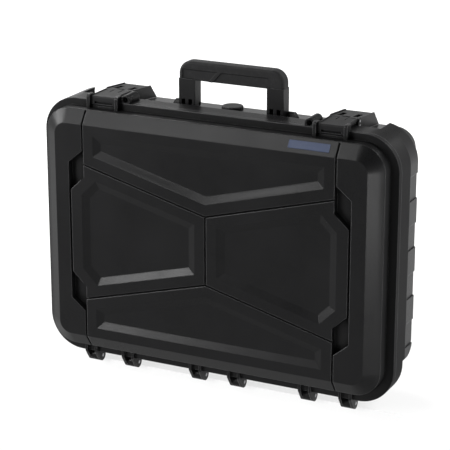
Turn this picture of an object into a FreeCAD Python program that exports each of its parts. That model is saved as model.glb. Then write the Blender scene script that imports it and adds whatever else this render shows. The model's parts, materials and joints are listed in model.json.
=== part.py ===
import FreeCAD, Part
import math
import os

# Hard carrying case standing on its hinge edge: X is the width, Y the depth, Z up.
# Working coordinates: y runs back from the lid face, z up from the middle of that face.
# place() moves each finished piece so that the origin lies under the middle of the case, on the ground.

# Overall case
CASE_DEPTH = 164.0
LID_DEPTH = 40.5
PARTING_GAP = 0.5
LID_WALL = 3.5
BASE_WALL = 3.5

# Lid face, bevel and side wall
FACE_HALF_X = 241.3
FACE_HALF_Z = 161.0
FACE_CORNER = 18.0
FACE_THICKNESS = 4.6
BEVEL_SIDE = 20.7
BEVEL_TOP = 19.4
BEVEL_DEPTH = 13.4

# Rim flanges of lid and base
RIM_FRONT = 32.0
RIM_SIDE = 13.0
RIM_TOP = 10.1
RIM_BOTTOM = 16.6
RIM_REAR = 66.0
SKIRT_THICKNESS = 3.4
SKIRT_HOLLOW_FRONT = 47.0

# Base body
BASE_SIDE_INSET = 12.6
BASE_TOP_STEP = 1.0
BASE_DRAFT_DEG = 6.0
BASE_REAR_ROUND = 14.0
BASE_FLOOR = 4.0
BACK_PANEL_MARGIN = 26.0
BACK_PANEL_DEPTH = 1.2
BACK_PANEL_CORNER = 14.0

# Outlines that follow from the values above
WALL_HALF_X = FACE_HALF_X + BEVEL_SIDE
WALL_HALF_Z = FACE_HALF_Z + BEVEL_TOP
WALL_CORNER = FACE_CORNER + BEVEL_SIDE
RIM_HALF_X = WALL_HALF_X + RIM_SIDE
RIM_TOP_Z = WALL_HALF_Z + RIM_TOP
RIM_LOW_Z = -WALL_HALF_Z - RIM_BOTTOM
RIM_CORNER = WALL_CORNER + RIM_SIDE
BASE_FRONT = LID_DEPTH + PARTING_GAP
BASE_HALF_X = RIM_HALF_X - BASE_SIDE_INSET
BASE_HALF_Z = WALL_HALF_Z + BASE_TOP_STEP
BASE_CORNER = RIM_CORNER - BASE_SIDE_INSET
DRAFT = math.tan(math.radians(BASE_DRAFT_DEG))

# Side bumper: a deeper stretch of the rim's skirt with pads on it
BUMPER_REAR = 102.0
BUMPER_LOW_MARGIN = 40.4
BUMPER_LOW_Z = BUMPER_LOW_MARGIN - WALL_HALF_Z
BUMPER_TOP_INSET = 43.0
BUMPER_TOP_X = RIM_HALF_X - BUMPER_TOP_INSET
BUMPER_END_ROUND = 22.0
PAD_COUNT = 8
PAD_PITCH = 2 * (BASE_HALF_Z - BASE_CORNER) / PAD_COUNT
PAD_RECESS = 1.6
PAD_BORDER = 8.0
GUSSET_THICKNESS = 3.0
GUSSET_STEPS = range(1 - PAD_COUNT, PAD_COUNT, 2)
RECESSED_PADS = range(1 - PAD_COUNT // 2, PAD_COUNT // 2, 2)

# Face pattern
GROOVE_INSET = 45.3
GROOVE_X = FACE_HALF_X - GROOVE_INSET
GROOVE_WIDTH = 2.8
GROOVE_DEPTH = 3.1
JUNCTION_SHARE = 0.637
CENTRE_SHARE = 0.314
PANEL_EDGE_SHARE = 0.391
BAND_EDGE_SHARE = 0.643
PANEL_EDGE_WIDTH = 20.2
BAND_SLIT = 3.2
PANEL_CHAMFER = 20.0
BAND_CHAMFER = 18.0
POCKET_DEPTH = 11.0
POCKET_WALL = 3.0
RECESS_DEPTH = 4.2
RECESS_SLOPE = 11.0
RECESS_INSET = 17.0
RECESS_TOP_INSET = 14.5
JUNCTION_Z = FACE_HALF_Z * JUNCTION_SHARE
CENTRE_Z = FACE_HALF_Z * CENTRE_SHARE
PANEL_EDGE_X = GROOVE_X + PANEL_EDGE_WIDTH
PANEL_EDGE_Z = FACE_HALF_Z * PANEL_EDGE_SHARE
PANEL_CHAMFER_Z = PANEL_EDGE_Z + PANEL_CHAMFER
BAND_EDGE_X = PANEL_EDGE_X + BAND_SLIT
BAND_EDGE_Z = FACE_HALF_Z * BAND_EDGE_SHARE
BAND_CHAMFER_Z = BAND_EDGE_Z + BAND_CHAMFER

# Seal
SEAL_OFFSET = 4.0
SEAL_WIDTH = 4.4
SEAL_THICKNESS = 2.2
SEAL_GROOVE_DEPTH = 4.1
SEAL_SIDE_CLEARANCE = 0.2
TONGUE_WIDTH = 2.8
TONGUE_HEIGHT = 2.2

# Hinge
HINGE_INSET = 67.3
HINGE_OUTER_X = FACE_HALF_X - HINGE_INSET
HINGE_SPREAD = 62.0
HINGE_Y = 44.0
HINGE_DROP = 10.0
HINGE_Z = RIM_LOW_Z - HINGE_DROP
HINGE_PIN_R = 2.5
HINGE_R = 8.5
HINGE_EAR_PITCH = 16.0
HINGE_EAR_THICKNESS = 4.0
HINGE_SIDE_CLEARANCE = 0.4
HINGE_EAR_FRONT = 27.0
HINGE_PIN_OVERHANG = 0.6
KNUCKLE_WEB_REAR = 62.0
HINGE_RIM_CLEARANCE = 0.8
HINGE_MIDDLES = (-HINGE_OUTER_X, 0.0, HINGE_OUTER_X)
HINGE_STATIONS = [x + side * HINGE_SPREAD / 2 for x in HINGE_MIDDLES for side in (-1, 1)]
GROUND_Z = HINGE_Z - HINGE_R

# Stand feet under the base
FOOT_X = HINGE_OUTER_X
FOOT_WIDTH = 44.0
FOOT_WALL = 4.0
FOOT_TOP_FRONT = 108.0
FOOT_LOW_FRONT = 124.0
FOOT_LOW_REAR = 144.0
FOOT_TOP_REAR = 149.0

# Latches: a lever on the base carries a hook that reaches over both rims
LATCH_INSET = 65.3
LATCH_X = FACE_HALF_X - LATCH_INSET
LATCH_RIB_THICKNESS = 5.0
LATCH_RIB_FRONT = 24.0
LATCH_RIB_REAR = 37.0
LATCH_RIB_RISE = 9.5
LATCH_RIB_TOP = RIM_TOP_Z + LATCH_RIB_RISE
LATCH_RIB_ROUND = 4.0
LATCH_LEDGE_FRONT = 29.0
LATCH_LEDGE_RISE = 3.0
LATCH_LEDGE_TOP = WALL_HALF_Z + LATCH_LEDGE_RISE
LEVER_PIVOT_Y = 77.0
LEVER_PIVOT_RISE = 6.6
LEVER_PIVOT_Z = BASE_HALF_Z + LEVER_PIVOT_RISE
LEVER_PIN_R = 2.0
LEVER_EAR_R = 3.8
LEVER_EAR_X = 8.0
LEVER_EAR_THICKNESS = 5.0
LEVER_EAR_GAP = 0.4
LEVER_HALF = 22.6
LEVER_CHEEK = 3.0
LEVER_CHEEK_R = 7.0
LEVER_PLATE = 3.2
LEVER_REAR_Y = 130.0
LEVER_REAR_RISE = 5.0
LEVER_REAR_Z = LEVER_PIVOT_Z + LEVER_REAR_RISE
LEVER_CHEEK_REAR_Y = 147.0
LEVER_WALL_GAP = 0.9
LEVER_RAIL_WIDTH = 2.2
LEVER_RAIL_HEIGHT = 1.2
LEVER_SLOT_X = 7.5
LEVER_SLOT_WIDTH = 8.0
LEVER_SLOT_FRONT = 84.0
LEVER_SLOT_REAR = 107.0
HOOK_THROW = 6.0
HOOK_PIN_R = 1.75
HOOK_KNUCKLE_R = 3.6
HOOK_HALF = 20.0
HOOK_GAP = 0.4
HOOK_SIDE_CLEARANCE = 0.3
HOOK_FRONT = 28.4
HOOK_NOSE = 3.2
HOOK_NOSE_GAP = 1.2
HOOK_NOSE_LOW_Z = LATCH_LEDGE_TOP + HOOK_NOSE_GAP
HOOK_EDGE = 1.6
HOOK_WINDOW_HALF = 14.5
HOOK_WINDOW_SILL = 1.8
HOOK_WINDOW_HEIGHT = 3.4
HOOK_RAIL_WIDTH = 1.8
HOOK_FLANGE_THICKNESS = 3.0
HOOK_RIM_GAP = 1.1
HOOK_FLANGE_LOW_Z = RIM_TOP_Z + HOOK_RIM_GAP
HOOK_FLANGE_FRONT = 33.6
HOOK_FLANGE_REAR = 60.0
HOOK_PIVOT_Z = LEVER_PIVOT_Z + HOOK_THROW
HOOK_TOP_Z = HOOK_PIVOT_Z + HOOK_KNUCKLE_R
HOOK_PLATE_REAR = LEVER_PIVOT_Y - HOOK_KNUCKLE_R - HOOK_GAP
HOOK_FLANGE_HALF = LEVER_HALF - LEVER_CHEEK - HOOK_SIDE_CLEARANCE
HOOK_FLANGE_STEP = 4.4
HOOK_FLANGE_END = HOOK_PLATE_REAR - HOOK_FLANGE_STEP
TONGUE_HALF = 6.0
TONGUE_SLIT = 1.2
TONGUE_SLIT_FRONT = 60.0

# Padlock eyes
EYE_INSET = 33.4
EYE_X = LATCH_X - EYE_INSET
EYE_HALF = 7.4
EYE_HOLE_R = 4.0
EYE_FLOOR = 0.9
EYE_TOP_WALL = 3.0
EYE_BASE_REAR = 62.0
EYE_Z = RIM_TOP_Z + EYE_FLOOR + EYE_HOLE_R

# Handle
HANDLE_HALF_X = 82.0
HANDLE_FRONT = 81.0
HANDLE_THICKNESS = 19.0
HANDLE_LEG_WIDTH = 26.0
HANDLE_RISE = 68.6
HANDLE_TOP = BASE_HALF_Z + HANDLE_RISE
HANDLE_SEAM_RISE = 42.6
HANDLE_SEAM = BASE_HALF_Z + HANDLE_SEAM_RISE
HANDLE_GRIP_LIP = 1.5
HANDLE_GRIP_LOW = HANDLE_SEAM - HANDLE_GRIP_LIP
HANDLE_CORNER = 19.0
HANDLE_EDGE = 4.2
GRIP_PANEL_DEPTH = 1.3
GRIP_PANEL_DROP = 12.5
GRIP_PANEL_TOP = HANDLE_TOP - GRIP_PANEL_DROP
GRIP_PANEL_END = 6.0
GRIP_BAR_LOW_X = -36.0
GRIP_BAR_RUN = 14.0
GRIP_BAR_WIDTH = 7.0
GRIP_PANEL_RIGHT = 20.0
GRIP_PANEL_CHAMFER = 5.0
HANDLE_PIVOT_Y = 95.5
HANDLE_PIVOT_RISE = 4.1
HANDLE_PIVOT_Z = BASE_HALF_Z + HANDLE_PIVOT_RISE
HANDLE_FOOT_R = 4.5
HANDLE_FOOT_CHAMFER = 4.0
HANDLE_PIN_R = 2.5
HANDLE_PIN_LENGTH = 32.0
HANDLE_CORE_INSET = 5.0
HANDLE_SIDE_CLEARANCE = 0.6
HANDLE_NOTCH_WIDTH = 5.6
HANDLE_NOTCH_HEIGHT = 8.0
HANDLE_NOTCH_DEPTH = 5.0
HANDLE_NOTCH_RISE = 0.7
HANDLE_NOTCH_Z = HANDLE_PIVOT_Z + HANDLE_NOTCH_RISE
HANDLE_NOTCH_PITCH = 11.0
BRACKET_LENGTH = 12.9
BRACKET_R = 4.9
BRACKET_SPREAD = 9.0
BRACKET_OUTER_RISE = 3.6
BRACKET_OUTER_Z = BASE_HALF_Z + BRACKET_OUTER_RISE
BRACKET_END_WALL = 2.5

# Purge valve
VALVE_Y = 88.0
VALVE_BOSS_R = 17.0
VALVE_BOSS_SINK = 0.2
VALVE_BOSS_TOP = BASE_HALF_Z - VALVE_BOSS_SINK
VALVE_BOSS_HEIGHT = 8.7
VALVE_BOSS_LOW = VALVE_BOSS_TOP - VALVE_BOSS_HEIGHT
VALVE_STEM_R = 6.0
VALVE_STEM_CLEARANCE = 0.05
VALVE_FLANGE_R = 13.5
VALVE_FLANGE = 3.2
VALVE_SPIGOT_R = 4.0
VALVE_SPIGOT_HEIGHT = 7.8
VALVE_SPIGOT_TOP = VALVE_BOSS_TOP + VALVE_SPIGOT_HEIGHT
VALVE_RING_R = 10.0
VALVE_RING_SECTION = 1.3
VALVE_KNOB_R = 15.5
VALVE_KNOB_GAP = 3.5
VALVE_KNOB_LOW = VALVE_BOSS_TOP + VALVE_KNOB_GAP
VALVE_KNOB_HEIGHT = 6.5
VALVE_KNOB_TOP = VALVE_KNOB_LOW + VALVE_KNOB_HEIGHT
VALVE_KNOB_ROUND = 2.1
VALVE_KNOB_FLUTES = 20
VALVE_FLUTE_R = 1.3
VALVE_FLUTE_OUT = 0.4
VALVE_NUT_HALF = 10.0
VALVE_NUT_HEIGHT = 6.0

# Running clearance of every pin that something turns on
PIN_CLEARANCE = 0.05

# Reach of cutters past the faces that they cut
MARGIN = 1.0

def vec(x, y, z):
    return FreeCAD.Vector(x, y, z)


def box(x0, x1, y0, y1, z0, z1):
    return Part.makeBox(x1 - x0, y1 - y0, z1 - z0, vec(x0, y0, z0))


def cylinder_x(radius, x0, x1, y, z):
    return Part.makeCylinder(radius, x1 - x0, vec(x0, y, z), vec(1, 0, 0))


def fuse(shapes):
    whole = shapes[0].multiFuse(shapes[1:])
    return whole.removeSplitter()


def carve(shape, tools):
    """Take each tool away in turn."""
    for tool in tools:
        shape = shape.cut(tool)
    return shape


def face_of(points):
    return Part.Face(Part.makePolygon(points + points[:1]))


def prism_y(points, y0, y1):
    """Extrude an outline of (x, z) points from y0 to y1."""
    outline = [vec(x, y0, z) for x, z in points]
    return face_of(outline).extrude(vec(0, y1 - y0, 0))


def prism_x(points, x0, x1):
    """Extrude an outline of (y, z) points from x0 to x1."""
    outline = [vec(x0, y, z) for y, z in points]
    return face_of(outline).extrude(vec(x1 - x0, 0, 0))


def prism_z(points, z0, z1):
    """Extrude an outline of (x, y) points from z0 to z1."""
    outline = [vec(x, y, z0) for x, y in points]
    return face_of(outline).extrude(vec(0, 0, z1 - z0))


def rounded_outline(half_x, z_low, z_high, radius, y):
    """Rectangle with round corners in the plane at y."""
    edges = []
    centres = (
        (half_x - radius, z_high - radius, 0.0),
        (-half_x + radius, z_high - radius, 90.0),
        (-half_x + radius, z_low + radius, 180.0),
        (half_x - radius, z_low + radius, 270.0),
    )

    def at(centre, degrees):
        turn = math.radians(centre[2] + degrees)
        return vec(centre[0] + radius * math.cos(turn), y, centre[1] + radius * math.sin(turn))

    for index, centre in enumerate(centres):
        arc = Part.Arc(at(centre, 0), at(centre, 45), at(centre, 90))
        following = centres[(index + 1) % len(centres)]
        edges.append(arc.toShape())
        edges.append(Part.LineSegment(at(centre, 90), at(following, 0)).toShape())
    return Part.Wire(edges)


def rounded_prism(half_x, z_low, z_high, radius, y0, y1):
    outline = rounded_outline(half_x, z_low, z_high, radius, y0)
    return Part.Face(outline).extrude(vec(0, y1 - y0, 0))


def rounded_loft(sections):
    """Ruled solid through sections of (half_x, half_z, radius, y)."""
    wires = [rounded_outline(hx, -hz, hz, radius, y) for hx, hz, radius, y in sections]
    solid = Part.makeLoft(wires[:2], True, True)
    for first, second in zip(wires[1:], wires[2:]):
        solid = solid.fuse(Part.makeLoft([first, second], True, True))
    return solid.removeSplitter()


def inset(points, distances):
    """Move each edge of a clockwise or anticlockwise convex outline inwards by its own distance."""
    area = 0.0
    for (x0, z0), (x1, z1) in zip(points, points[1:] + points[:1]):
        area += x0 * z1 - x1 * z0
    side = 1.0 if area > 0 else -1.0
    lines = []
    for (x0, z0), (x1, z1), distance in zip(points, points[1:] + points[:1], distances):
        length = math.hypot(x1 - x0, z1 - z0)
        normal = (-(z1 - z0) / length * side, (x1 - x0) / length * side)
        lines.append((normal, normal[0] * x0 + normal[1] * z0 + distance))
    moved = []
    for (n0, d0), (n1, d1) in zip(lines[-1:] + lines[:-1], lines):
        scale = n0[0] * n1[1] - n0[1] * n1[0]
        moved.append(((d0 * n1[1] - d1 * n0[1]) / scale, (n0[0] * d1 - n1[0] * d0) / scale))
    return moved


def mirrored(points):
    return [(-a, b) for a, b in points]


def flipped(points):
    return [(a, -b) for a, b in points]


def tangent_point(start, centre, radius, side):
    """Point where a line from start touches a circle, on its left (1) or right (-1) side."""
    reach = math.hypot(centre[0] - start[0], centre[1] - start[1])
    heading = math.atan2(centre[1] - start[1], centre[0] - start[0]) + side * math.asin(radius / reach)
    length = math.sqrt(reach ** 2 - radius ** 2)
    return start[0] + length * math.cos(heading), start[1] + length * math.sin(heading)


def both_sides(x0, x1):
    """Ranges of x on the right and, mirrored, on the left."""
    return (x0, x1), (-x1, -x0)


def base_wall_z(y):
    """Height of the drafted top wall's outside."""
    return BASE_HALF_Z - DRAFT * (y - RIM_REAR)


# Face pattern of the lid


def upper_recess_outline():
    """Five-sided recess of the upper panel."""
    panel = [
        (-GROOVE_X, FACE_HALF_Z),
        (GROOVE_X, FACE_HALF_Z),
        (GROOVE_X, JUNCTION_Z),
        (0.0, CENTRE_Z),
        (-GROOVE_X, JUNCTION_Z),
    ]
    return inset(panel, [RECESS_TOP_INSET] + [RECESS_INSET] * 4)


def side_recess_outline():
    """Six-sided recess of a side panel: the chamfers run on to the sloping edges."""
    slope = (JUNCTION_Z - CENTRE_Z) / GROOVE_X
    chamfer = (PANEL_CHAMFER_Z - PANEL_EDGE_Z) / (PANEL_EDGE_X - GROOVE_X)
    meet_x = (PANEL_EDGE_Z + chamfer * PANEL_EDGE_X - CENTRE_Z) / (slope + chamfer)
    meet_z = CENTRE_Z + slope * meet_x
    panel = [
        (0.0, CENTRE_Z),
        (meet_x, meet_z),
        (PANEL_EDGE_X, PANEL_EDGE_Z),
        (PANEL_EDGE_X, -PANEL_EDGE_Z),
        (meet_x, -meet_z),
        (0.0, -CENTRE_Z),
    ]
    return inset(panel, [RECESS_INSET] * len(panel))


def recess_outlines():
    top = upper_recess_outline()
    right = side_recess_outline()
    return [top, flipped(top), right, mirrored(right)]


def recess_cutter(outline):
    """Shallow tray with sloping walls all round."""
    floor = inset(outline, [RECESS_SLOPE] * len(outline))
    slope = RECESS_SLOPE / RECESS_DEPTH
    mouth = inset(outline, [-slope * MARGIN] * len(outline))
    wires = []
    for points, y in ((mouth, -MARGIN), (floor, RECESS_DEPTH)):
        ring = [vec(x, y, z) for x, z in points]
        wires.append(Part.makePolygon(ring + ring[:1]))
    return Part.makeLoft(wires, True, True)


def pocket_outlines():
    """Dark corner pockets between the side band and the side panel, with the slit that joins them."""
    near = GROOVE_X - GROOVE_WIDTH / 2
    right = [
        (near, BAND_CHAMFER_Z),
        (GROOVE_X + GROOVE_WIDTH / 2, BAND_CHAMFER_Z),
        (BAND_EDGE_X, BAND_EDGE_Z),
        (BAND_EDGE_X, -BAND_EDGE_Z),
        (GROOVE_X + GROOVE_WIDTH / 2, -BAND_CHAMFER_Z),
        (near, -BAND_CHAMFER_Z),
        (near, -PANEL_CHAMFER_Z),
        (PANEL_EDGE_X, -PANEL_EDGE_Z),
        (PANEL_EDGE_X, PANEL_EDGE_Z),
        (near, PANEL_CHAMFER_Z),
    ]
    return [right, mirrored(right)]


def groove_slab(start, end):
    """Thin prism along a face line, as deep as a groove."""
    length = math.hypot(end[0] - start[0], end[1] - start[1])
    across = ((end[1] - start[1]) / length, -(end[0] - start[0]) / length)
    half = GROOVE_WIDTH / 2
    points = []
    for point, sign in ((start, 1), (end, 1), (end, -1), (start, -1)):
        points.append((point[0] + sign * half * across[0], point[1] + sign * half * across[1]))
    return prism_y(points, -MARGIN, GROOVE_DEPTH)


def lid_front(shift):
    """Face and bevel of the lid, set back by shift."""
    return rounded_loft([
        (FACE_HALF_X, FACE_HALF_Z, FACE_CORNER, shift),
        (WALL_HALF_X, WALL_HALF_Z, WALL_CORNER, BEVEL_DEPTH + shift),
    ])


def face_grooves():
    """Grooves of the face: two long ones that also cross the bevel, the slanted four and the middle one."""
    layer = lid_front(0.0).cut(lid_front(GROOVE_DEPTH))
    tools = []
    for side in (-1, 1):
        x = side * GROOVE_X
        slab = box(x - GROOVE_WIDTH / 2, x + GROOVE_WIDTH / 2, -MARGIN, BEVEL_DEPTH,
                   -WALL_HALF_Z, WALL_HALF_Z)
        tools.append(layer.common(slab))
        for level in (-1, 1):
            tools.append(groove_slab((x, level * JUNCTION_Z), (0.0, level * CENTRE_Z)))
    tools.append(groove_slab((0.0, -CENTRE_Z), (0.0, CENTRE_Z)))
    return tools


# Lid


def lid_cavity():
    """Inside of the lid, less the bosses that keep the wall behind recesses and pockets."""
    inner = rounded_loft([
        (FACE_HALF_X - LID_WALL / 2, FACE_HALF_Z - LID_WALL / 2, FACE_CORNER, FACE_THICKNESS),
        (WALL_HALF_X - LID_WALL, WALL_HALF_Z - LID_WALL, WALL_CORNER - LID_WALL, BEVEL_DEPTH + LID_WALL),
        (WALL_HALF_X - LID_WALL, WALL_HALF_Z - LID_WALL, WALL_CORNER - LID_WALL, LID_DEPTH + MARGIN),
    ])
    bosses = []
    for outline in recess_outlines():
        bosses.append(prism_y(outline, 0.0, RECESS_DEPTH + LID_WALL))
    for side in (-1, 1):
        x0 = side * (GROOVE_X - GROOVE_WIDTH / 2 - POCKET_WALL)
        x1 = side * (BAND_EDGE_X + POCKET_WALL)
        high = BAND_CHAMFER_Z + POCKET_WALL
        low_x, high_x = min(x0, x1), max(x0, x1)
        bosses.append(box(low_x, high_x, 0.0, POCKET_DEPTH + POCKET_WALL, -high, high))
    return inner.cut(bosses)


def seal_ring(width, y0, y1):
    """Ring that follows the rim behind the lid's wall."""
    half_x = WALL_HALF_X + SEAL_OFFSET
    half_z = WALL_HALF_Z + SEAL_OFFSET
    radius = WALL_CORNER + SEAL_OFFSET
    half = width / 2
    outer = rounded_prism(half_x + half, -half_z - half, half_z + half, radius + half, y0, y1)
    inner = rounded_prism(half_x - half, half - half_z, half_z - half, radius - half, y0, y1)
    return outer.cut(inner)


def latch_rib(x):
    """Upright plate on the lid beside a latch lever, with a round top front corner."""
    low = WALL_HALF_Z - LID_WALL / 2
    r = LATCH_RIB_ROUND
    x0 = x - LATCH_RIB_THICKNESS / 2
    corner = vec(x0, LATCH_RIB_FRONT + r, LATCH_RIB_TOP - r)
    turn = r * math.sqrt(0.5)
    arc = Part.Arc(
        vec(x0, LATCH_RIB_FRONT, LATCH_RIB_TOP - r),
        corner + vec(0, -turn, turn),
        vec(x0, LATCH_RIB_FRONT + r, LATCH_RIB_TOP),
    )
    points = [
        vec(x0, LATCH_RIB_FRONT + r, LATCH_RIB_TOP),
        vec(x0, LATCH_RIB_REAR, LATCH_RIB_TOP),
        vec(x0, LATCH_RIB_REAR, low),
        vec(x0, LATCH_RIB_FRONT, low),
        vec(x0, LATCH_RIB_FRONT, LATCH_RIB_TOP - r),
    ]
    edges = [arc.toShape()]
    for start, end in zip(points, points[1:]):
        edges.append(Part.LineSegment(start, end).toShape())
    return Part.Face(Part.Wire(edges)).extrude(vec(LATCH_RIB_THICKNESS, 0, 0))


def hinge_ear(x):
    """Hinge plate of the lid: from the rim down and back to the pin."""
    x0 = x - HINGE_EAR_THICKNESS / 2
    x1 = x + HINGE_EAR_THICKNESS / 2
    wall_z = -WALL_HALF_Z + LID_WALL / 2
    disc = cylinder_x(HINGE_R, x0, x1, HINGE_Y, HINGE_Z)
    front = (HINGE_EAR_FRONT, RIM_LOW_Z)
    web = prism_x([
        (HINGE_EAR_FRONT, wall_z),
        front,
        tangent_point(front, (HINGE_Y, HINGE_Z), HINGE_R, -1),
        (HINGE_Y, HINGE_Z),
        (HINGE_Y, HINGE_Z + HINGE_R),
        (LID_DEPTH, RIM_LOW_Z - HINGE_RIM_CLEARANCE),
        (LID_DEPTH, wall_z),
    ], x0, x1)
    bore = cylinder_x(HINGE_PIN_R + PIN_CLEARANCE, x0 - MARGIN, x1 + MARGIN, HINGE_Y, HINGE_Z)
    return disc.fuse(web).cut(bore)


def make_lid_shell():
    """Lid with its rim, latch ribs and ledges, hinge ears, seal groove and face pattern."""
    pieces = [
        lid_front(0.0),
        rounded_prism(WALL_HALF_X, -WALL_HALF_Z, WALL_HALF_Z, WALL_CORNER, BEVEL_DEPTH, LID_DEPTH),
        rounded_prism(RIM_HALF_X, RIM_LOW_Z, RIM_TOP_Z, RIM_CORNER, RIM_FRONT, LID_DEPTH),
    ]
    reach = HOOK_HALF + HOOK_SIDE_CLEARANCE
    for side in (-1, 1):
        middle = side * LATCH_X
        for edge in (-1, 1):
            pieces.append(latch_rib(middle + edge * (reach + LATCH_RIB_THICKNESS / 2)))
        pieces.append(box(middle - reach, middle + reach, LATCH_LEDGE_FRONT, RIM_FRONT,
                          WALL_HALF_Z - LID_WALL / 2, LATCH_LEDGE_TOP))
    for station in HINGE_STATIONS:
        for edge in (-1, 1):
            pieces.append(hinge_ear(station + edge * HINGE_EAR_PITCH / 2))
    solid = fuse(pieces)
    groove_width = SEAL_WIDTH + 2 * SEAL_SIDE_CLEARANCE
    groove = seal_ring(groove_width, LID_DEPTH - SEAL_GROOVE_DEPTH, LID_DEPTH + MARGIN)
    recesses = [recess_cutter(outline) for outline in recess_outlines()]
    pockets = [prism_y(outline, -MARGIN, POCKET_DEPTH) for outline in pocket_outlines()]
    return solid.cut([lid_cavity(), groove] + recesses + pockets + face_grooves())


def make_seal():
    front = LID_DEPTH - SEAL_GROOVE_DEPTH
    return seal_ring(SEAL_WIDTH, front, front + SEAL_THICKNESS)


# Base


def base_outside():
    rear = CASE_DEPTH - BASE_REAR_ROUND
    taper = DRAFT * (rear - RIM_REAR)
    knee = BASE_REAR_ROUND * (1.0 - math.sqrt(0.5))
    sections = [
        (0.0, RIM_REAR),
        (taper, rear),
        (taper + knee, CASE_DEPTH - knee),
        (taper + BASE_REAR_ROUND, CASE_DEPTH),
    ]
    return rounded_loft([
        (BASE_HALF_X - step, BASE_HALF_Z - step, BASE_CORNER - step, y) for step, y in sections
    ])


def base_cavity():
    rear = CASE_DEPTH - BASE_REAR_ROUND
    taper = DRAFT * (rear - RIM_REAR)
    half_x = BASE_HALF_X - BASE_WALL
    half_z = BASE_HALF_Z - BASE_WALL
    corner = BASE_CORNER - BASE_WALL
    knee = BASE_REAR_ROUND - BASE_WALL
    floor = CASE_DEPTH - BASE_FLOOR - BACK_PANEL_DEPTH
    sections = [
        (0.0, BASE_FRONT - MARGIN),
        (0.0, RIM_REAR),
        (taper, rear),
        (taper + knee, floor),
    ]
    return rounded_loft([(half_x - step, half_z - step, corner - step, y) for step, y in sections])


def skirt_hollow(y0, y1):
    """Channel between the base's wall and the skirt of its rim."""
    outer = rounded_prism(RIM_HALF_X - SKIRT_THICKNESS, RIM_LOW_Z + SKIRT_THICKNESS,
                          RIM_TOP_Z - SKIRT_THICKNESS, RIM_CORNER - SKIRT_THICKNESS, y0, y1)
    inner = rounded_prism(BASE_HALF_X, -BASE_HALF_Z, BASE_HALF_Z, BASE_CORNER, y0, y1)
    return outer.cut(inner)


def bumper_region(side):
    """Part of the outline that the side bumper covers, with its lower rear end rounded."""
    r = BUMPER_END_ROUND
    turn = r * math.sqrt(0.5)
    x0 = side * BUMPER_TOP_X
    points = [
        vec(x0, RIM_REAR - MARGIN, RIM_TOP_Z + MARGIN),
        vec(x0, BUMPER_REAR, RIM_TOP_Z + MARGIN),
        vec(x0, BUMPER_REAR, BUMPER_LOW_Z + r),
    ]
    arc = Part.Arc(
        points[-1],
        vec(x0, BUMPER_REAR - r + turn, BUMPER_LOW_Z + r - turn),
        vec(x0, BUMPER_REAR - r, BUMPER_LOW_Z),
    )
    ending = [
        vec(x0, BUMPER_REAR - r, BUMPER_LOW_Z),
        vec(x0, RIM_REAR - MARGIN, BUMPER_LOW_Z),
        points[0],
    ]
    edges = []
    for start, end in zip(points, points[1:]):
        edges.append(Part.LineSegment(start, end).toShape())
    edges.append(arc.toShape())
    for start, end in zip(ending, ending[1:]):
        edges.append(Part.LineSegment(start, end).toShape())
    reach = RIM_HALF_X - BUMPER_TOP_X + MARGIN
    return Part.Face(Part.Wire(edges)).extrude(vec(side * reach, 0, 0))


def bumper(side):
    """Skirt stretch behind the rim on one side, with the gussets that carry it."""
    outer = rounded_prism(RIM_HALF_X, RIM_LOW_Z, RIM_TOP_Z, RIM_CORNER, RIM_REAR, BUMPER_REAR)
    inner = rounded_prism(RIM_HALF_X - SKIRT_THICKNESS, RIM_LOW_Z + SKIRT_THICKNESS,
                          RIM_TOP_Z - SKIRT_THICKNESS, RIM_CORNER - SKIRT_THICKNESS, RIM_REAR, BUMPER_REAR)
    region = bumper_region(side)
    band = outer.cut(inner).common(region)
    inside = BASE_HALF_X - DRAFT * (BUMPER_REAR - RIM_REAR) - BASE_WALL / 2
    whole = rounded_prism(RIM_HALF_X, RIM_LOW_Z, RIM_TOP_Z, RIM_CORNER, SKIRT_HOLLOW_FRONT, BUMPER_REAR)
    rim_part = box(-RIM_HALF_X, RIM_HALF_X, SKIRT_HOLLOW_FRONT, RIM_REAR, RIM_LOW_Z, RIM_TOP_Z)
    carried = rim_part.fuse(region)
    pieces = [band]
    for count in GUSSET_STEPS:
        z = count * PAD_PITCH / 2
        x0, x1 = sorted((side * inside, side * RIM_HALF_X))
        plate = box(x0, x1, SKIRT_HOLLOW_FRONT, BUMPER_REAR,
                    z - GUSSET_THICKNESS / 2, z + GUSSET_THICKNESS / 2)
        pieces.append(plate.common(whole).common(carried))
    return pieces


def pad_recesses(side):
    """Shallow recesses between the raised pads of a bumper."""
    tools = []
    for count in RECESSED_PADS:
        z = count * PAD_PITCH
        x0, x1 = sorted((side * (RIM_HALF_X - PAD_RECESS), side * (RIM_HALF_X + MARGIN)))
        tools.append(box(x0, x1, RIM_REAR + PAD_BORDER, BUMPER_REAR + MARGIN,
                         z - PAD_PITCH / 2, z + PAD_PITCH / 2))
    return tools


def hinge_knuckle(station):
    """Hinge block of the base between two ears of the lid."""
    half = HINGE_EAR_PITCH / 2 - HINGE_EAR_THICKNESS / 2 - HINGE_SIDE_CLEARANCE
    disc = cylinder_x(HINGE_R, station - half, station + half, HINGE_Y, HINGE_Z)
    rear = (KNUCKLE_WEB_REAR, RIM_LOW_Z)
    web = prism_x([
        (BASE_FRONT, RIM_LOW_Z + SKIRT_THICKNESS),
        (BASE_FRONT, HINGE_Z),
        (HINGE_Y, HINGE_Z),
        tangent_point(rear, (HINGE_Y, HINGE_Z), HINGE_R, 1),
        rear,
        (KNUCKLE_WEB_REAR, RIM_LOW_Z + SKIRT_THICKNESS),
    ], station - half, station + half)
    bore = cylinder_x(HINGE_PIN_R, station - half - MARGIN, station + half + MARGIN, HINGE_Y, HINGE_Z)
    return disc.fuse(web).cut(bore)


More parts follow.
